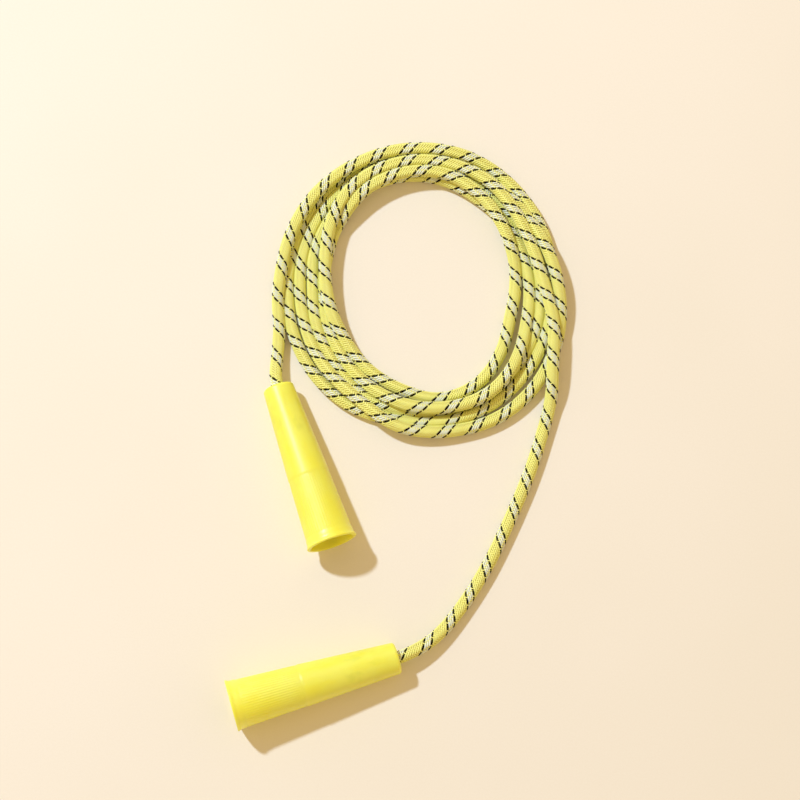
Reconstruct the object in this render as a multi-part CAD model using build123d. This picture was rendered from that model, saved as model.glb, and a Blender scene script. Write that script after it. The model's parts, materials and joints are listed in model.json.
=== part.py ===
from build123d import *
import math
import os

# A skipping rope: two hollow tapered handles on one braided rope, laid down in a loose coil.
# Millimetres, +Z up. The handles lie on the plane Z = 0, which is also what the rope lies on.

# Handle: a turned shell in two tapers, open at the wide end. Stations are measured from its narrow end.
HANDLE_LENGTH = 102.0
NARROW_RADIUS = 9.5
NARROW_ROUND = 2.0
GRIP_RADIUS = 12.75
MOUTH_RADIUS = 14.8
LIP_RADIUS = 15.4
LIP_LENGTH = 2.0
WALL = 1.6
END_WALL = 3.0
GRIP_START = 59.0
GRIP_END = 96.0
GRIP_STEP = 0.35
RIB_COUNT = 56
RIB_WIDTH = 0.7
RIB_HEIGHT = 0.25
RIB_ROOT = 0.6

# Rope, its knots and its cut ends.
ROPE_RADIUS = 3.75
ROPE_HOLE_RADIUS = 4.2
KNOT_START = 11.0
KNOT_LENGTH = 19.0
KNOT_RADIUS = 7.9
KNOT_ROUND = 3.6
STUB_LENGTH = 9.0
SEAL_LENGTH = 2.5
SEAL_RADIUS = 4.0
ARC_SHARE = 0.45

# Where each handle's middle lies, and the heading from its narrow end to its wide end.
HANDLE_A_MIDDLE = (-6.1, 54.1)
HANDLE_A_HEADING = -70.7
HANDLE_B_MIDDLE = (1.1, -75.7)
HANDLE_B_HEADING = -163.6

# The coil: a flat ring, two ropes high, between two ovals.
COIL_CENTRE = (63.1, 163.8)
COIL_LONG = 94.0
COIL_SHORT = 89.0
COIL_TURNED = 115.0
HOLE_CENTRE = (63.9, 167.4)
HOLE_LONG = 66.0
HOLE_SHORT = 54.0
HOLE_TURNED = 98.0
COIL_HEIGHT = 4 * ROPE_RADIUS
COIL_ROUND = 3.0

# The uncoiled rope at each end, from just outside the handle to the coil's wall.
TAIL_A = [
    (-24.1, 123.1, 5.2),
    (-21.3, 136.1, ROPE_RADIUS),
    (-16.7, 149.1, ROPE_RADIUS),
]
TAIL_B = [
    (73.1, -49.3, 5.2),
    (88.7, -30.2, ROPE_RADIUS),
    (103.2, -7.4, ROPE_RADIUS),
    (117.3, 21.6, ROPE_RADIUS),
    (130.3, 52.0, ROPE_RADIUS),
    (139.1, 79.7, ROPE_RADIUS),
    (143.5, 102.1, 6.0),
    (143.5, 115.6, 10.0),
]
EXIT_A = 4.0
EXIT_B = 6.0

# A handle lies on its lip and on its narrow end, so its axis climbs towards the mouth.
LIP_EDGE = HANDLE_LENGTH - LIP_LENGTH / 2
REST_TILT = math.atan2(LIP_RADIUS - NARROW_RADIUS, LIP_EDGE - NARROW_ROUND)
NARROW_HEIGHT = NARROW_RADIUS * math.cos(REST_TILT) - NARROW_ROUND * math.sin(REST_TILT)


def body_radius(station):
    """Outer radius of the plain shell: a steeper taper up to the grip and a slighter one beyond it."""
    if station < GRIP_START:
        share = (station - NARROW_ROUND) / (GRIP_START - NARROW_ROUND)
        return NARROW_RADIUS + share * (GRIP_RADIUS - NARROW_RADIUS)
    share = (station - GRIP_START) / (HANDLE_LENGTH - GRIP_START)
    return GRIP_RADIUS + share * (MOUTH_RADIUS - GRIP_RADIUS)


def make_handle():
    """One handle about +Z, with the centre of its narrow end at the origin."""
    lip_start = HANDLE_LENGTH - LIP_LENGTH
    with BuildSketch(Plane.XZ) as section:
        with BuildLine():
            Polyline(
                (ROPE_HOLE_RADIUS, 0),
                (NARROW_RADIUS - NARROW_ROUND, 0),
            )
            RadiusArc(
                (NARROW_RADIUS - NARROW_ROUND, 0),
                (NARROW_RADIUS, NARROW_ROUND),
                -NARROW_ROUND,
            )
            Polyline(
                (NARROW_RADIUS, NARROW_ROUND),
                (body_radius(GRIP_START), GRIP_START),
                (body_radius(GRIP_START) - GRIP_STEP, GRIP_START + GRIP_STEP),
                (body_radius(GRIP_END) - GRIP_STEP, GRIP_END),
                (body_radius(GRIP_END), GRIP_END + GRIP_STEP),
                (body_radius(lip_start), lip_start),
                (LIP_RADIUS, LIP_EDGE),
                (LIP_RADIUS, HANDLE_LENGTH),
                (MOUTH_RADIUS - WALL, HANDLE_LENGTH),
                (GRIP_RADIUS - WALL, GRIP_START),
                (body_radius(END_WALL) - WALL, END_WALL),
                (ROPE_HOLE_RADIUS, END_WALL),
                (ROPE_HOLE_RADIUS, 0),
            )
        make_face()
    shell = revolve(section.sketch, Axis.Z)
    return shell + make_ribs()


def make_ribs():
    """The fine lengthwise ribs that stand up in the grip's shallow recess, run into its two steps."""
    slope = math.atan2(MOUTH_RADIUS - GRIP_RADIUS, HANDLE_LENGTH - GRIP_START)
    start, end = GRIP_START - GRIP_STEP, GRIP_END + 2 * GRIP_STEP
    middle = (start + end) / 2
    depth = RIB_ROOT + RIB_HEIGHT
    rib = Box(depth, RIB_WIDTH, (end - start) / math.cos(slope))
    height = body_radius(middle) - GRIP_STEP + RIB_HEIGHT - depth / 2
    place = Pos(height, 0, middle) * Rot(0, math.degrees(slope), 0)
    return [Rot(0, 0, i * 360 / RIB_COUNT) * place * rib for i in range(RIB_COUNT)]


def handle_place(middle, heading):
    """Lays what is made about +Z down as a handle lies, with its middle over the point given."""
    angle = math.radians(heading)
    back = HANDLE_LENGTH / 2 * math.cos(REST_TILT)
    narrow = (
        middle[0] - back * math.cos(angle),
        middle[1] - back * math.sin(angle),
        NARROW_HEIGHT,
    )
    along = (
        math.cos(angle) * math.cos(REST_TILT),
        math.sin(angle) * math.cos(REST_TILT),
        math.sin(REST_TILT),
    )
    across = (-math.sin(angle), math.cos(angle), 0)
    return Plane(origin=narrow, x_dir=across, z_dir=along)


def make_knot():
    """The stopper knot as a plain barrel about +Z, drawn up tight."""
    up = (Align.CENTER, Align.CENTER, Align.MIN)
    barrel = Cylinder(KNOT_RADIUS, KNOT_LENGTH, align=up)
    ends = barrel.edges().filter_by(GeomType.CIRCLE)
    return Pos(0, 0, KNOT_START) * fillet(ends, KNOT_ROUND)


def make_tip():
    """The cut end beyond the knot: a short stub and its heat-sealed bead."""
    start = KNOT_START + KNOT_LENGTH
    up = (Align.CENTER, Align.CENTER, Align.MIN)
    stub = Pos(0, 0, start) * Cylinder(ROPE_RADIUS, STUB_LENGTH, align=up)
    seal = Cylinder(SEAL_RADIUS, SEAL_LENGTH, align=up)
    seal = fillet(seal.edges(), SEAL_LENGTH / 3)
    return stub + Pos(0, 0, start + STUB_LENGTH) * seal


def make_coil():
    """The outer shape of the coil, as one closed ring."""
    outer = Pos(*COIL_CENTRE) * Rot(0, 0, COIL_TURNED) * Ellipse(COIL_LONG, COIL_SHORT)
    hole = Pos(*HOLE_CENTRE) * Rot(0, 0, HOLE_TURNED) * Ellipse(HOLE_LONG, HOLE_SHORT)
    ring = extrude(outer - hole, COIL_HEIGHT)
    return fillet(ring.edges(), COIL_ROUND)


def make_tail(name, points, coil):
    """A rope laid along straight runs and tangent arcs, cut off flush at the coil's wall."""
    corners = [Vector(*point) for point in points]
    radii = []
    for before, corner, after in zip(corners, corners[1:], corners[2:]):
        into, out = corner - before, after - corner
        turn = math.radians(into.get_angle(out))
        radii.append(ARC_SHARE * min(into.length, out.length) / math.tan(turn / 2))
    path = FilletPolyline(*corners, radius=radii)
    section = Plane(origin=path @ 0, z_dir=path % 0) * Circle(ROPE_RADIUS)
    tube = sweep(section, path=path)
    print(name, "arc radii", [round(radius) for radius in radii])
    print(name, "turns", [round((b - a).get_angle(c - b)) for a, b, c in
          zip(corners, corners[1:], corners[2:])])
    print(name, "volume over section times length",
          round(tube.volume / (math.pi * ROPE_RADIUS**2 * path.length), 4))
    tail = tube - coil
    return max(tail.solids(), key=lambda solid: solid.volume)


def main():
    place_a = handle_place(HANDLE_A_MIDDLE, HANDLE_A_HEADING)
    place_b = handle_place(HANDLE_B_MIDDLE, HANDLE_B_HEADING)
    handle, knot, tip = make_handle(), make_knot(), make_tip()
    coil = make_coil()

    def along(place, station):
        return tuple(place.from_local_coords(Vector(0, 0, station)))

    tail_a = [along(place_a, KNOT_START), along(place_a, -EXIT_A)] + TAIL_A
    tail_b = [along(place_b, KNOT_START), along(place_b, -EXIT_B)] + TAIL_B
    parts = {
        "handle_a": place_a * handle,
        "handle_b": place_b * handle,
        "knot_a": place_a * knot,
        "knot_b": place_b * knot,
        "rope_tip_a": place_a * tip,
        "rope_tip_b": place_b * tip,
        "rope_coil": coil,
        "rope_tail_a": make_tail("rope_tail_a", tail_a, coil),
        "rope_tail_b": make_tail("rope_tail_b", tail_b, coil),
    }
    os.makedirs("parts", exist_ok=True)
    for name, shape in parts.items():
        export_step(shape, f"parts/{name}.step")


main()
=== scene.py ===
"""A braided skipping rope in a loose coil, built round the CAD frame.

It has a hollow tapered handle at each end."""

import json
import math

import bpy
import numpy as np
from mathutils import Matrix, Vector


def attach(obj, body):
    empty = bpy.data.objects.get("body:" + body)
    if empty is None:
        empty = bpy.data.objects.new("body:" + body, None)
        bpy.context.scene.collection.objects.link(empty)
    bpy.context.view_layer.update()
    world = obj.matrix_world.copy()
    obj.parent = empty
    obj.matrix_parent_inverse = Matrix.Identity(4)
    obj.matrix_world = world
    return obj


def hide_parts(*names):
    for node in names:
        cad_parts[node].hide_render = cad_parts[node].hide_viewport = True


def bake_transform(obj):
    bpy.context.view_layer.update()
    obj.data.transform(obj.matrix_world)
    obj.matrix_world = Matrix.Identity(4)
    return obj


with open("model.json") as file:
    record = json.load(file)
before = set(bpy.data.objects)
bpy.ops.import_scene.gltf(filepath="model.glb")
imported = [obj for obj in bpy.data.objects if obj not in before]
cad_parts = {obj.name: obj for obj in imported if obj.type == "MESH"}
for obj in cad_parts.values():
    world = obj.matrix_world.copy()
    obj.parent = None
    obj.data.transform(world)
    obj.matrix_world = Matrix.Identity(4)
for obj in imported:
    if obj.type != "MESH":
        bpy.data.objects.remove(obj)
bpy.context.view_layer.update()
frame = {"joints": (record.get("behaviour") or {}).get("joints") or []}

MM = 0.001
TURN = 2 * math.pi
SCENE = bpy.context.scene

# Camera: nearly overhead, looking at the middle of the coil and its two handles.
LOOK_AT = Vector((0.05116, 0.09596, 0.0))
CAMERA_ELEVATION = 78.5
CAMERA_DISTANCE = 1.3
CAMERA_LENS = 95.9

# Light: one small far key, bluish against the warm room, and the room's own even light.
KEY_PLACE = (-1.51, 1.30, 2.36)
KEY_SIZE = 0.2
KEY_POWER = 88.0
KEY_COLOUR = (0.63, 0.76, 1.0)
ROOM_COLOUR = (0.67, 0.50, 0.30, 1)

FLOOR_DROP = 0.05 * MM          # how far the floor lies under the object, so no faces share a plane
FLOOR_HALF = 3.0                # half the floor's side
FLOOR_CELLS = 24                # along each side

# Rope. Its pitch is the length in which a yarn of the braid goes once round.
ROPE_DIAMETER = 7.5 * MM
ROPE_RADIUS = ROPE_DIAMETER / 2
BRAID_RADIUS = 3.92 * MM        # to the tops of its yarns
CORE_RADIUS = 3.25 * MM
CORE_SIDES = 10
PITCH = 19.4 * MM
YARNS = 12                      # in each of the braid's two directions
STEPS_PER_PITCH = 2 * YARNS     # one step from each crossing of two yarns to the next
STEP_LENGTH = PITCH / STEPS_PER_PITCH
LINE_SAMPLES = 6                # points on a smooth line for each of its control points
YARN_RISE = 0.5 * MM            # how far a yarn dips to pass under the others
YARN_WIDTH = {1: 0.93, -1: 1.02}  # share of its room that a yarn fills, for the two ways round
TRACER_WIDTH = 0.88             # of the other yarns' width
YARN_CROWN = 0.42 * MM          # how far a yarn's middle stands above its edges
PALE_YARNS = (1, 2, 3)
TRACER_YARNS = (0, 4)

# The coil's turns: radii in millimetres every 20 degrees, clockwise from the coil's -X side.
COIL_CENTRE = Vector((0.0646, 0.1651))
COIL_START = -30
COIL_STEP = 5
STATION = 20
COIL_LEAD = [98.0, 91.6, 88.0]  # radii every 10 degrees, before the first turn
LEAD_STATION = 10
LEAD_OVERLAP = 3                # points at the coil's start that the tail of handle A stands in for
COIL_TURNS = [
    [86.0, 86.8, 87.8, 87.8, 88.0, 87.6, 86.6, 84.6, 82.0,
     80.0, 81.0, 82.0, 84.0, 84.5, 83.5, 85.3, 85.0, 83.8],
    [84.0, 82.5, 84.5, 86.0, 86.0, 83.6, 79.4, 77.6, 79.8,
     83.3, 88.5, 91.9, 93.0, 90.6, 88.0, 80.0, 76.5, 75.0],
    [75.0, 76.8, 78.3, 79.6, 79.6, 77.6, 74.6, 73.0, 72.4,
     73.0, 74.3, 76.0, 76.8, 76.8, 77.5, 76.0, 72.0, 67.4],
    [66.3, 71.0, 73.0, 73.6, 73.6, 72.0, 69.0, 67.0, 65.6,
     66.0, 67.7, 74.0, 78.3, 77.0, 74.3, 69.0, 64.5, 63.0],
    [60.8, 62.0, 66.6, 70.6, 73.2, 73.4, 68.8, 63.5, 60.2,
     57.3, 57.2, 62.7, 68.5, 70.0, 65.0, 61.0, 58.0, 57.8],
    [58.7, 62.9, 70.2, 77.4, 79.8, 80.0, 78.6, 74.5, 72.0, 75.0, 85.6],
]
# Which turn was laid over which: (angle along the coil, order). A higher order lies on a lower one.
LAID = [
    (-30, 7), (112, 7), (150, 1), (359, 1), (361, 2), (635, 2), (648, 3.5), (695, 3.5), (705, 3),
    (1079, 3),
    (1081, 4), (1380, 4), (1396, 2.4), (1476, 2.4), (1492, 5), (1799, 5), (1801, 6), (2000, 6),
]
LAYER = 0.6 * ROPE_DIAMETER     # how much higher each order starts, before it settles
SETTLE_STEPS = 500
SETTLE_STILL = 60               # the last steps, without the drop
SETTLE_PASSES = 4               # times that touching turns are pushed apart in each step
SETTLE_DROP = 0.12 * MM         # how far every turn is lowered in a step
SMOOTH_SINKING = 0.3            # share of the way to its neighbours' middle that a point moves in a step
SMOOTH_STILL = 0.15             # the same, in the last steps
PUSH = 0.45                     # share of an overlap that each of two touching turns gives way by
SQUEEZE = 0.9                   # two ropes that touch press each other to this share of a diameter
HOLD = 0.9                      # how firmly a turn keeps to its own radius while it settles

# The rope outside the coil, from each handle.
TAIL_A = [
    (-0.0243, 0.1061, 0.0090),
    (-0.0245, 0.1141, 0.0069),
    (-0.0235, 0.1231, 0.0047),
]
TAIL_B = [
    (0.1437, 0.1146, 0.0110),
    (0.1437, 0.1026, 0.0080),
    (0.1422, 0.0916, 0.0046),
    (0.1391, 0.0797, BRAID_RADIUS),
    (0.1303, 0.0520, BRAID_RADIUS),
    (0.1173, 0.0216, BRAID_RADIUS),
    (0.1032, -0.0074, BRAID_RADIUS),
    (0.0887, -0.0302, BRAID_RADIUS),
    (0.0731, -0.0493, 0.0052),
    (0.0558, -0.0596, 0.0090),
]
HOLE_DEPTH = 1.5 * MM           # where, inside the handle's end wall, the free rope begins
LEAD_TUCK = 0.5 * MM            # how far the lead to the knot reaches back into the free rope

# Handle: stations from the narrow end, in metres.
HANDLE_LENGTH = 102 * MM
NARROW_RADIUS = 9.5 * MM
NARROW_ROUND = 2.0 * MM
GRIP_RADIUS = 12.75 * MM
MOUTH_RADIUS = 14.8 * MM
LIP_RADIUS = 15.4 * MM
LIP_LENGTH = 2.0 * MM
LIP_ROUND = 0.7 * MM
LIP_SWELL = 0.15 * MM           # how far the body has flared where the lip begins
EDGE = 0.5 * MM                 # rounding of the shell's small edges
WALL = 1.6 * MM
END_WALL = 3.0 * MM
HOLE_RADIUS = 4.2 * MM
GRIP_START = 59 * MM
GRIP_END = 96 * MM
GRIP_STEP = 0.35 * MM
RIBS = 56
RIB_HEIGHT = 0.13 * MM
RIB_FADE = 1.6 * MM             # length over which the ribs rise at each end of the grip
RIB_SHARPNESS = 1.4
SIDES_PER_RIB = 6

# Knot: three passes of squeezed rope twisted round each other.
KNOT_START = 11 * MM
KNOT_LENGTH = 19 * MM
KNOT_END = KNOT_START + KNOT_LENGTH
KNOT_ROPE = 3.6 * MM
KNOT_PASS_RADIUS = KNOT_ROPE * 2 / math.sqrt(3)
KNOT_TWIST = math.radians(200)
KNOT_TURN_IN = 0.9              # rope radii between the knot's ends and where its passes turn back
STUB_LENGTH = 9 * MM
SEAL_LENGTH = 2.5 * MM
SEAL_RADIUS = 4.0 * MM
SEAL_OVERLAP = 0.4 * MM         # how far the melted bead reaches back over the braid


# ---------------------------------------------------------------- materials

NOISE_ROUGHNESS = 0.55


def linear(red, green, blue):
    """A colour given as sRGB, 0 to 255, as the shader wants it."""
    colour = (red, green, blue)
    return [((c / 255 + 0.055) / 1.055) ** 2.4 if c > 10 else c / 3294 for c in colour] + [1.0]


class Shader:
    """A node material with one Principled shader, and short ways to add nodes to it."""

    def __init__(self, name, **settings):
        self.material = bpy.data.materials.new(name)
        self.material.use_nodes = True
        self.tree = self.material.node_tree
        self.surface = self.tree.nodes["Principled BSDF"]
        for socket, value in settings.items():
            self.surface.inputs[socket.replace("_", " ")].default_value = value

    def node(self, kind, inputs=None, **settings):
        made = self.tree.nodes.new(kind)
        for name, value in settings.items():
            setattr(made, name, value)
        for key, value in (inputs or {}).items():
            if isinstance(value, bpy.types.NodeSocket):
                self.tree.links.new(value, made.inputs[key])
            else:
                made.inputs[key].default_value = value
        return made

    def attribute(self, name):
        return self.node("ShaderNodeAttribute", attribute_name=name).outputs["Vector"]

    def part(self, vector, axis):
        return self.node("ShaderNodeSeparateXYZ", {0: vector}).outputs[axis]

    def noise(self, vector, stretch, scale, detail):
        stretched = self.node("ShaderNodeVectorMath", {0: vector, 1: stretch}, operation="MULTIPLY")
        settings = {"Vector": stretched.outputs[0], "Scale": scale, "Detail": detail}
        settings["Roughness"] = NOISE_ROUGHNESS
        return self.node("ShaderNodeTexNoise", settings).outputs["Fac"]

    def math(self, operation, first, second=0.5):
        return self.node("ShaderNodeMath", {0: first, 1: second}, operation=operation).outputs[0]

    def spread(self, value, low, high, to_low=0.0, to_high=1.0):
        settings = {"Value": value, 1: low, 2: high, 3: to_low, 4: to_high}
        return self.node("ShaderNodeMapRange", settings, interpolation_type="SMOOTHSTEP").outputs[0]

    def mix(self, factor, first, second):
        """Two colours mixed. 6, 7 and 2 are the node's colour inputs and output."""
        return self.node("ShaderNodeMix", {0: factor, 6: first, 7: second}, data_type="RGBA").outputs[2]

    def set(self, socket, value):
        self.tree.links.new(value, self.surface.inputs[socket])

    def bump(self, height, strength, distance, under=None):
        inputs = {"Height": height, "Strength": strength, "Distance": distance}
        if under is not None:
            inputs["Normal"] = under
        return self.node("ShaderNodeBump", inputs).outputs[0]


def yarn_material(name, colour, shade, sheen=0.25, gloss=0.35):
    """Twisted filament yarn: fine fibres along each yarn, and painted shade that darkens it towards its
    edges, where the grooves lie.
    """
    made = Shader(name, Sheen_Weight=sheen, Sheen_Roughness=0.4, Specular_IOR_Level=gloss)
    place = made.attribute("yarn")      # (along the yarn, across it from -1 to 1, the yarn's own number)
    fibres = made.noise(place, (420, 3.4, 7.3), 1.0, 2.0)
    patches = made.noise(place, (60, 0.3, 3.1), 1.0, 2.0)
    across = made.math("ABSOLUTE", made.part(place, "Y"))
    # Painted shade: the colour darkens towards the yarn's edges, up to half way to the shade colour,
    # standing in for shade in the grooves.
    edge = made.spread(across, 0.5, 1.0, 0.0, 0.5)
    tone = made.mix(made.spread(fibres, 0.3, 0.7), colour, made.mix(0.35, colour, shade))
    tone = made.mix(made.spread(patches, 0.35, 0.75, 0.0, 0.3), tone, shade)
    made.set("Base Color", made.mix(edge, tone, shade))
    made.set("Roughness", made.spread(fibres, 0.2, 0.8, 0.4, 0.65))
    made.set("Normal", made.bump(fibres, 0.5, 0.12 * MM))
    return made.material


def handle_material():
    """Glossy, slightly translucent moulded polyethylene, with painted shade where the knot lies inside
    it.
    """
    made = Shader(
        "handle_polyethylene",
        Subsurface_Weight=0.6,
        Subsurface_Radius=(1.0, 0.85, 0.06),
        Subsurface_Scale=3.6 * MM,
        Specular_IOR_Level=0.5,
        Coat_Weight=0.3,
        Coat_Roughness=0.5,
    )
    place = made.attribute("turned")    # (station, cosine, sine round the axis)
    station = made.part(place, "X")
    clouds = made.noise(place, (40, 1.2, 1.2), 1.0, 3.0)
    streaks = made.noise(place, (18, 26, 26), 1.0, 3.0)
    grain = made.noise(place, (1400, 22, 22), 1.0, 2.0)
    colour = made.mix(made.spread(clouds, 0.35, 0.7), linear(255, 250, 96), linear(255, 244, 74))
    # Painted shade: a dim greenish patch where the knot lies inside, standing in for its shadow seen
    # through the wall.
    knot = made.math("MULTIPLY",
                     made.spread(station, KNOT_START - 2 * MM, KNOT_START + 6 * MM),
                     made.spread(station, KNOT_END, KNOT_END + STUB_LENGTH, 1.0, 0.0))
    shadow = made.noise(place, (70, 1.3, 1.3), 1.0, 2.0)
    shape = made.math("MULTIPLY", knot, made.spread(shadow, 0.42, 0.66))
    colour = made.mix(made.math("MULTIPLY", shape, 0.3), colour, linear(206, 212, 74))
    made.set("Base Color", colour)
    made.set("Roughness", made.spread(streaks, 0.3, 0.75, 0.32, 0.44))
    fine = made.bump(grain, 0.1, 0.05 * MM)
    made.set("Normal", made.bump(streaks, 0.12, 0.12 * MM, fine))
    return made.material


def seal_material():
    """Rope end melted and pressed smooth, browned a little by the heat."""
    made = Shader("sealed_rope_end", Specular_IOR_Level=0.5)
    place = made.node("ShaderNodeTexCoord").outputs["Object"]
    lumps = made.noise(place, (1, 1, 1), 420.0, 4.0)
    brown = made.spread(lumps, 0.35, 0.7)
    made.set("Base Color", made.mix(brown, linear(206, 190, 72), linear(120, 98, 40)))
    made.set("Roughness", made.spread(lumps, 0.3, 0.7, 0.22, 0.5))
    made.set("Normal", made.bump(lumps, 0.5, 0.4 * MM))
    return made.material


def floor_material():
    """Warm matt board with a very faint grain."""
    made = Shader("pale_board", Specular_IOR_Level=0.2)
    place = made.node("ShaderNodeTexCoord").outputs["Object"]
    grain = made.noise(place, (1, 1, 1), 900.0, 3.0)
    broad = made.noise(place, (1, 1, 1), 5.0, 2.0)
    colour = made.mix(made.spread(broad, 0.3, 0.7), linear(243, 235, 215), linear(241, 233, 212))
    specks = made.spread(grain, 0.3, 0.7, 0.0, 0.12)
    made.set("Base Color", made.mix(specks, colour, linear(232, 220, 192)))
    made.set("Roughness", made.spread(grain, 0.3, 0.7, 0.8, 0.95))
    made.set("Normal", made.bump(grain, 0.08, 0.1 * MM))
    return made.material


# ---------------------------------------------------------------- small helpers

def link(made):
    SCENE.collection.objects.link(made)
    return made


def mesh_object(name, points, faces, material, attribute=None, caps=()):
    """A smooth-shaded mesh object of four-sided faces and of three-sided caps.

    attribute is (name, one 3-vector for each point)."""
    corners = [4] * len(faces) + [3] * len(caps)
    order = np.concatenate([np.ravel(faces), np.ravel(caps)]).astype(np.int32)
    mesh = bpy.data.meshes.new(name)
    mesh.vertices.add(len(points))
    mesh.vertices.foreach_set("co", np.asarray(points, np.float32).ravel())
    mesh.loops.add(len(order))
    mesh.loops.foreach_set("vertex_index", order)
    mesh.polygons.add(len(corners))
    mesh.polygons.foreach_set("loop_start", np.cumsum([0] + corners[:-1]).astype(np.int32))
    mesh.polygons.foreach_set("use_smooth", np.ones(len(corners), bool))
    mesh.update(calc_edges=True)
    if attribute:
        layer = mesh.attributes.new(attribute[0], "FLOAT_VECTOR", "POINT")
        layer.data.foreach_set("vector", np.asarray(attribute[1], np.float32).ravel())
    mesh.materials.append(material)
    return link(bpy.data.objects.new(name, mesh))


def tube_faces(rings, sides):
    """The faces between rings of points, one ring after another."""
    ring = np.arange(sides)
    after = np.roll(ring, -1)
    return np.concatenate([np.stack([i * sides + ring, i * sides + after,
                                     (i + 1) * sides + after, (i + 1) * sides + ring], 1)
                           for i in range(rings - 1)])


def tube_caps(rings, sides):
    """Fans that close the first and the last ring on two middle points, which follow the rings."""
    ring = np.arange(sides)
    after = np.roll(ring, -1)
    middle, last = rings * sides, (rings - 1) * sides
    return np.concatenate([np.stack([np.full(sides, middle), after, ring], 1),
                           np.stack([np.full(sides, middle + 1), last + ring, last + after], 1)])


def nurbs_line(name, points):
    """The smooth line of a NURBS spline with these control points, as an array read from Blender."""
    curve = bpy.data.curves.new(name, "CURVE")
    curve.dimensions = "3D"
    spline = curve.splines.new("NURBS")
    spline.points.add(len(points) - 1)
    for control, point in zip(spline.points, points):
        control.co = (*point, 1.0)
    spline.order_u = 3
    spline.use_endpoint_u = True
    spline.resolution_u = LINE_SAMPLES
    holder = link(bpy.data.objects.new(name, curve))
    bpy.context.view_layer.update()
    mesh = bpy.data.meshes.new_from_object(holder)
    line = np.array([v.co for v in mesh.vertices], float)
    bpy.data.meshes.remove(mesh)
    bpy.data.objects.remove(holder)
    return line


def even_points(line):
    """Points along a line at equal distances, each about one step of the braid."""
    lengths = np.concatenate([[0], np.cumsum(np.linalg.norm(np.diff(line, axis=0), axis=1))])
    count = max(4, round(lengths[-1] / STEP_LENGTH))
    at = np.linspace(0, lengths[-1], count + 1)
    return np.stack([np.interp(at, lengths, line[:, axis]) for axis in range(3)], 1)


def frames_along(line):
    """Two directions across the line at each point, carried along it without twist."""
    forward = np.gradient(line, axis=0)
    forward /= np.linalg.norm(forward, axis=1)[:, None]
    side = np.empty_like(forward)
    start = np.array((0.0, 0.0, 1.0))
    for i, ahead in enumerate(forward):
        start = start - ahead * (start @ ahead)
        start = start / np.linalg.norm(start)
        side[i] = start
    return side, np.cross(forward, side)


# ---------------------------------------------------------------- rope

def yarns(line, radius, hand, numbers):
    """Points, faces, places and end caps of some of the braid's yarns, along evenly spaced points.

    hand is 1 or -1 for the two ways round. A yarn of hand -1 passes over three of the others,
    then under one."""
    side, up = frames_along(line)
    steps = np.arange(len(line))
    step = np.linalg.norm(line[1] - line[0])
    size = radius / ROPE_RADIUS
    points, faces, places, caps = [], [], [], []
    for number in numbers:
        tracer = hand < 0 and number in TRACER_YARNS
        half = math.pi / YARNS * YARN_WIDTH[hand] * (TRACER_WIDTH if tracer else 1)
        order = 2 * number + hand * steps
        over = ((order % 4 < 3) == (hand < 0)).astype(float)
        crown = radius - YARN_RISE * size * (1 - over)
        edge = crown - YARN_CROWN * size
        middle = -hand * TURN * steps / STEPS_PER_PITCH + TURN * number / YARNS
        first = sum(len(p) for p in points)
        rows = []
        for offset, height, across in ((-half, edge, -1), (0.0, crown, 0), (half, edge, 1)):
            angle = middle + offset
            outward = np.cos(angle)[:, None] * up + np.sin(angle)[:, None] * side
            rows.append(line + height[:, None] * outward)
            same = np.ones(len(line))
            # The second value, across the yarn from -1 to 1, sets where the yarn material paints shade
            # at its edges.
            places.append(np.stack([steps * step, across * same, number * same], 1))
        points.append(np.concatenate(rows))
        count = len(line)
        for a, b in ((0, 1), (1, 2), (2, 0)):
            low, high = first + a * count + steps[:-1], first + b * count + steps[:-1]
            faces.append(np.stack([low, low + 1, high + 1, high], 1))
        caps += [(first, first + count, first + 2 * count),
                 (first + 3 * count - 1, first + 2 * count - 1, first + count - 1)]
    return np.concatenate(points), np.concatenate(faces), np.concatenate(places), caps


def yarn_object(name, line, radius, hand, numbers, material):
    points, faces, places, caps = yarns(line, radius, hand, numbers)
    return mesh_object(name, points, faces, material, ("yarn", places), caps)


def core_object(name, line, material):
    """The soft core that fills the braid, closed at both ends."""
    side, up = frames_along(line)
    angles = TURN * np.arange(CORE_SIDES) / CORE_SIDES
    cosine, sine = np.cos(angles)[None, :, None], np.sin(angles)[None, :, None]
    around = cosine * up[:, None] + sine * side[:, None]
    points = np.concatenate([(line[:, None] + CORE_RADIUS * around).reshape(-1, 3), line[[0, -1]]])
    length = np.arange(len(line)) * np.linalg.norm(line[1] - line[0])
    # The second value, cos(3 x angle), makes the yarn material paint shade in bands round the core.
    place = np.stack([np.repeat(length, CORE_SIDES), np.tile(np.cos(3 * angles), len(line)),
                      np.tile(angles, len(line))], 1)
    places = np.concatenate([place, place[[0, -1]]])
    return mesh_object(name, points, tube_faces(len(line), CORE_SIDES), material,
                       ("yarn", places), tube_caps(len(line), CORE_SIDES))


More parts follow.
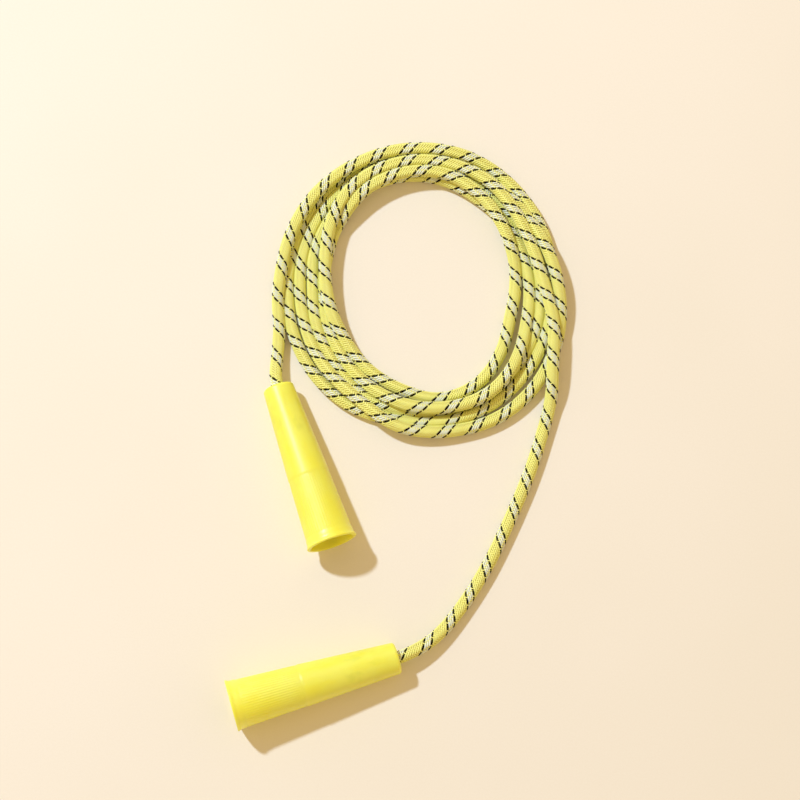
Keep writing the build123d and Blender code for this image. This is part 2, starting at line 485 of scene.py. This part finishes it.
def coil_points():
    """The coil's turns from handle A's side to handle B's, settled on the floor and on each other."""
    radii = COIL_LEAD + [radius for turn in COIL_TURNS for radius in turn]
    angles = [COIL_START + LEAD_STATION * i for i in range(len(COIL_LEAD))]
    angles += [STATION * i for i in range(sum(len(turn) for turn in COIL_TURNS))]
    angles, radii = np.array(angles, float), np.array(radii) * MM
    at = np.arange(COIL_START, angles[-1] + 1, COIL_STEP)
    slope = np.gradient(radii, angles)
    i = np.clip(np.searchsorted(angles, at, side="right") - 1, 0, len(angles) - 2)
    width = angles[i + 1] - angles[i]
    t = (at - angles[i]) / width
    plan = (1 + 2 * t) * (1 - t) ** 2 * radii[i] + t * (1 - t) ** 2 * width * slope[i]
    plan += t * t * (3 - 2 * t) * radii[i + 1] + t * t * (t - 1) * width * slope[i + 1]
    order = np.interp(at, *zip(*LAID))
    radius, height = settle(plan, BRAID_RADIUS + LAYER * order)
    turned = np.radians(at)
    # A spline of this order passes inside its points by this much.
    radius = radius / (0.75 + 0.25 * math.cos(math.radians(COIL_STEP)))
    x, y = COIL_CENTRE.x - radius * np.cos(turned), COIL_CENTRE.y + radius * np.sin(turned)
    return np.stack([x, y, height], 1)


def settle(plan, height):
    """Lets the turns sink onto the floor and onto the turns under them. Returns radii and heights."""
    per_turn = 360 // COIL_STEP
    shift = np.zeros_like(plan)
    for step in range(SETTLE_STEPS):
        sinking = step < SETTLE_STEPS - SETTLE_STILL
        height = height - (SETTLE_DROP if sinking else 0)
        for values in (height, shift):
            middle = (values[:-2] + values[2:]) / 2
            values[1:-1] += (SMOOTH_SINKING if sinking else SMOOTH_STILL) * (middle - values[1:-1])
        shift *= HOLD
        for _ in range(SETTLE_PASSES):
            radius = plan + shift
            for turns in range(1, len(COIL_TURNS)):
                behind = per_turn * turns
                inner, outer = slice(0, len(plan) - behind), slice(behind, len(plan))
                across, up = radius[outer] - radius[inner], height[outer] - height[inner]
                apart = np.hypot(across, up) + 1e-9
                push = np.clip(SQUEEZE * ROPE_DIAMETER - apart, 0, None) * PUSH / apart
                radius[inner] -= push * across
                radius[outer] += push * across
                height[inner] -= push * up
                height[outer] += push * up
            height = np.maximum(height, BRAID_RADIUS)
            shift = radius - plan
    return plan + shift, height


# ---------------------------------------------------------------- handles

class Handle:
    """A handle's own axis at rest, read from the joint that it spins on."""

    def __init__(self, letter):
        joint = next(j for j in frame["joints"] if j["name"] == f"handle_{letter}_spin")
        self.letter = letter
        self.origin = np.array(joint["pos_m"], float)
        self.axis = np.array(joint["axis"], float)
        self.axis /= np.linalg.norm(self.axis)
        across = np.cross((0.0, 0.0, 1.0), self.axis)
        self.across = across / np.linalg.norm(across)
        self.up = np.cross(self.axis, self.across)

    def at(self, station):
        return self.origin + station * self.axis

    def lay(self, points):
        """Points given as (across, up, station) put where the handle lies."""
        points = np.asarray(points, float)
        across, up, along = points[:, :1], points[:, 1:2], points[:, 2:]
        return self.origin + across * self.across + up * self.up + along * self.axis


def body_radius(station):
    """Outer radius of the plain shell: a steeper taper up to the grip and a slighter one beyond it."""
    stations = (NARROW_ROUND, GRIP_START, HANDLE_LENGTH)
    return float(np.interp(station, stations, (NARROW_RADIUS, GRIP_RADIUS, MOUTH_RADIUS)))


def arc(centre, radius, start, end, count):
    """Points (station, radius) on an arc. Angles are in degrees from the axis's own direction."""
    angles = [math.radians(start + (end - start) * i / count) for i in range(count + 1)]
    return [(centre[0] + radius * math.cos(a), centre[1] + radius * math.sin(a)) for a in angles]


def spaced(start, end, count, radius_at):
    return [(s, radius_at(s)) for s in np.linspace(start, end, count)]


def handle_outline():
    """The handle's section as (station, radius): from the rope hole along the body, and back inside."""
    lip_start = HANDLE_LENGTH - LIP_LENGTH
    hole_edge = HOLE_RADIUS + EDGE
    mouth_edge = MOUTH_RADIUS - WALL + EDGE
    step = GRIP_STEP

    def inner(station):
        return body_radius(station) - WALL

    def grip(station):
        return body_radius(station) - step

    def at(station, radius_at):
        return [(station, radius_at(station))]

    outline = arc((EDGE, hole_edge), EDGE, 270, 180, 3)
    outline += arc((NARROW_ROUND, NARROW_RADIUS - NARROW_ROUND), NARROW_ROUND, 180, 90, 8)
    outline += spaced(5 * MM, GRIP_START - 3 * step, 14, body_radius)
    outline += at(GRIP_START - 2 * step, body_radius) + at(GRIP_START + step, grip)
    outline += spaced(GRIP_START + 2 * step, GRIP_END - 2 * step, 26, grip)
    outline += at(GRIP_END - step, grip)
    outline += spaced(GRIP_END + 2 * step, lip_start - EDGE, 3, body_radius)
    outline += [(lip_start, body_radius(lip_start) + LIP_SWELL)]
    outline += arc((HANDLE_LENGTH - LIP_ROUND, LIP_RADIUS - LIP_ROUND), LIP_ROUND, 120, 0, 8)
    outline += arc((HANDLE_LENGTH - EDGE, mouth_edge), EDGE, 0, -90, 4)
    outline += spaced(HANDLE_LENGTH - 2 * MM, END_WALL + 2 * MM, 22, inner)
    outline += arc((END_WALL + MM, inner(END_WALL) - MM), MM, 90, 180, 4)
    outline += arc((END_WALL - EDGE, hole_edge), EDGE, 0, -90, 3)
    return outline


def make_handle(handle, material):
    """The handle turned about its axis, with fine lengthwise ribs standing up in the grip."""
    outline = handle_outline()
    sides = RIBS * SIDES_PER_RIB
    angles = TURN * np.arange(sides) / sides
    ripple = (0.5 + 0.5 * np.cos(RIBS * angles)) ** RIB_SHARPNESS
    inside = max(range(len(outline)), key=lambda i: outline[i][0])
    points, places = [], []
    for number, (station, radius) in enumerate(outline):
        outside = number < inside
        fade = min(station - GRIP_START, GRIP_END - station) / RIB_FADE
        ring = radius + RIB_HEIGHT * ripple * (min(1.0, max(0.0, fade)) if outside else 0.0)
        along = np.full(sides, station)
        points.append(np.stack([ring * np.cos(angles), ring * np.sin(angles), along], 1))
        places.append(np.stack([along, np.cos(angles), np.sin(angles)], 1))
    count = len(outline)
    ring = np.arange(sides)
    after = np.roll(ring, -1)
    faces = []
    for i in range(count):
        low, high = i * sides, (i + 1) % count * sides
        faces.append(np.stack([low + ring, low + after, high + after, high + ring], 1))
    name = f"handle_{handle.letter}_shell"
    made = mesh_object(name, handle.lay(np.concatenate(points)), np.concatenate(faces), material,
                       ("turned", np.concatenate(places)))
    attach(made, f"handle_{handle.letter}")
    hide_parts(f"handle_{handle.letter}")


# ---------------------------------------------------------------- knots and ends

def knot_points():
    """The knot's line about the handle's axis: in along it, up, down and up again, and out along it."""
    low, high = KNOT_START + KNOT_TURN_IN * KNOT_ROPE, KNOT_END - KNOT_TURN_IN * KNOT_ROPE
    points = [(0, 0, KNOT_START - 2 * MM), (0, 0, KNOT_START)]
    for number in range(3):
        rising = number != 1
        for i in range(7):
            share = i / 6 if rising else 1 - i / 6
            angle = TURN * number / 3 + KNOT_TWIST * share
            place = KNOT_PASS_RADIUS * math.cos(angle), KNOT_PASS_RADIUS * math.sin(angle)
            points.append((*place, low + share * (high - low)))
    return points + [(0, 0, KNOT_END + MM), (0, 0, KNOT_END + 3 * MM), (0, 0, KNOT_END + STUB_LENGTH)]


def make_seal(handle, material):
    """The melted end: a lumpy bead."""
    start = KNOT_END + STUB_LENGTH - SEAL_OVERLAP
    length = SEAL_LENGTH + SEAL_OVERLAP
    rings, sides = 10, 28
    angles = TURN * np.arange(sides) / sides
    points = []
    for i in range(rings + 1):
        share = i / rings
        round_off = max(0.02, 1 - (2 * share - 1) ** 6) ** 0.5
        lumps = 1 + 0.05 * np.sin(3 * angles + 5 * share) + 0.03 * np.sin(7 * angles - 3 * share)
        ring = SEAL_RADIUS * round_off * lumps
        station = np.full(sides, start + share * length)
        points.append(np.stack([ring * np.cos(angles), ring * np.sin(angles), station], 1))
    points.append(np.array([(0, 0, start), (0, 0, start + length)]))
    name = f"rope_end_{handle.letter}_seal"
    made = mesh_object(name, handle.lay(np.concatenate(points)), tube_faces(rings + 1, sides),
                       material, caps=tube_caps(rings + 1, sides))
    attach(made, f"knot_{handle.letter}")
    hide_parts(f"rope_tip_{handle.letter}")
    return made


# ---------------------------------------------------------------- stage

def make_camera():
    raised = math.radians(CAMERA_ELEVATION)
    camera = link(bpy.data.objects.new("camera", bpy.data.cameras.new("camera")))
    camera.location = LOOK_AT + CAMERA_DISTANCE * Vector((0, -math.cos(raised), math.sin(raised)))
    camera.rotation_euler = (math.pi / 2 - raised, 0, 0)
    camera.data.lens = CAMERA_LENS
    camera.data.sensor_width = 36
    camera.data.clip_end = 20
    SCENE.camera = camera


def make_floor():
    cells = FLOOR_CELLS
    at = np.linspace(-FLOOR_HALF, FLOOR_HALF, cells + 1)
    x, y = np.meshgrid(at, at)
    points = np.stack([x.ravel() + LOOK_AT.x, y.ravel() + LOOK_AT.y, np.full(x.size, -FLOOR_DROP)], 1)
    # The first corner of each cell.
    corner = (np.arange(cells)[:, None] * (cells + 1) + np.arange(cells)[None]).ravel()
    faces = np.stack([corner, corner + 1, corner + cells + 2, corner + cells + 1], 1)
    mesh_object("floor", points, faces, floor_material())


def area_light(name, place, size, power, colour):
    light = bpy.data.lights.new(name, "AREA")
    light.shape = "DISK"
    light.size = size
    light.energy = power
    light.color = colour
    holder = link(bpy.data.objects.new(name, light))
    holder.location = LOOK_AT + Vector(place)
    holder.rotation_euler = (-Vector(place)).to_track_quat("-Z", "Y").to_euler()


def make_lights():
    """A key from the upper left, and soft light from all round."""
    area_light("key", KEY_PLACE, KEY_SIZE, KEY_POWER, KEY_COLOUR)
    world = bpy.data.worlds.new("studio")
    world.use_nodes = True
    world.node_tree.nodes["Background"].inputs["Color"].default_value = ROOM_COLOUR
    world.node_tree.nodes["Background"].inputs["Strength"].default_value = 1.0
    SCENE.world = world
    SCENE.view_settings.view_transform = "Standard"


# ---------------------------------------------------------------- the object

make_camera()
HANDLE_A, HANDLE_B = Handle("a"), Handle("b")
YELLOW = yarn_material("yarn_yellow", linear(255, 255, 152), linear(250, 238, 92))
PALE = yarn_material("yarn_pale", linear(251, 255, 230), linear(236, 240, 188))
TRACER = yarn_material("yarn_tracer", linear(12, 13, 11), linear(6, 7, 6), sheen=0.0, gloss=0.1)
HANDLE_PLASTIC = handle_material()
SEAL = seal_material()
YELLOW_S = [n for n in range(YARNS) if n not in PALE_YARNS + TRACER_YARNS]

coil = coil_points()[LEAD_OVERLAP:]
route = [HANDLE_A.at(HOLE_DEPTH), *TAIL_A, *coil, *TAIL_B, HANDLE_B.at(HOLE_DEPTH)]
rope_line = even_points(nurbs_line("rope_line", route))
rope = [
    yarn_object("rope_yellow_yarns_1", rope_line, BRAID_RADIUS, 1, range(0, YARNS, 2), YELLOW),
    yarn_object("rope_yellow_yarns_2", rope_line, BRAID_RADIUS, 1, range(1, YARNS, 2), YELLOW),
    yarn_object("rope_yellow_yarns_3", rope_line, BRAID_RADIUS, -1, YELLOW_S, YELLOW),
    yarn_object("rope_pale_yarns", rope_line, BRAID_RADIUS, -1, PALE_YARNS, PALE),
    yarn_object("rope_tracer_yarns", rope_line, BRAID_RADIUS, -1, TRACER_YARNS, TRACER),
    core_object("rope_core", rope_line, YELLOW),
]
for piece in rope:
    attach(piece, "rope")
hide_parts("rope_coil", "rope_tail_a", "rope_tail_b")

on_rope = rope[1:]
for handle in (HANDLE_A, HANDLE_B):
    make_handle(handle, HANDLE_PLASTIC)
    knot_body = f"knot_{handle.letter}"
    knot_line = handle.lay(even_points(nurbs_line("knot_line", knot_points())))
    kinds = (("yellow", 1, range(YARNS), YELLOW), ("lay", -1, YELLOW_S, YELLOW),
             ("pale", -1, PALE_YARNS, PALE), ("tracer", -1, TRACER_YARNS, TRACER))
    lead_line = even_points(np.array([handle.at(HOLE_DEPTH - LEAD_TUCK), handle.at(KNOT_START + MM)]))
    for kind, hand, numbers, material in kinds:
        knot = yarn_object(f"{knot_body}_{kind}_yarns", knot_line, KNOT_ROPE, hand, numbers, material)
        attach(knot, knot_body)
        if kind == "yellow":
            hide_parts(knot_body)
        lead_name = f"rope_lead_{handle.letter}_{kind}"
        lead = yarn_object(lead_name, lead_line, BRAID_RADIUS, hand, numbers, material)
        tuple(handle.at(END_WALL))
        tuple(handle.at(KNOT_START))
        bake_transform(lead)
        on_rope += [knot, lead]
    on_rope.append(make_seal(handle, SEAL))

tuple(HANDLE_A.at(0))
make_floor()
make_lights()
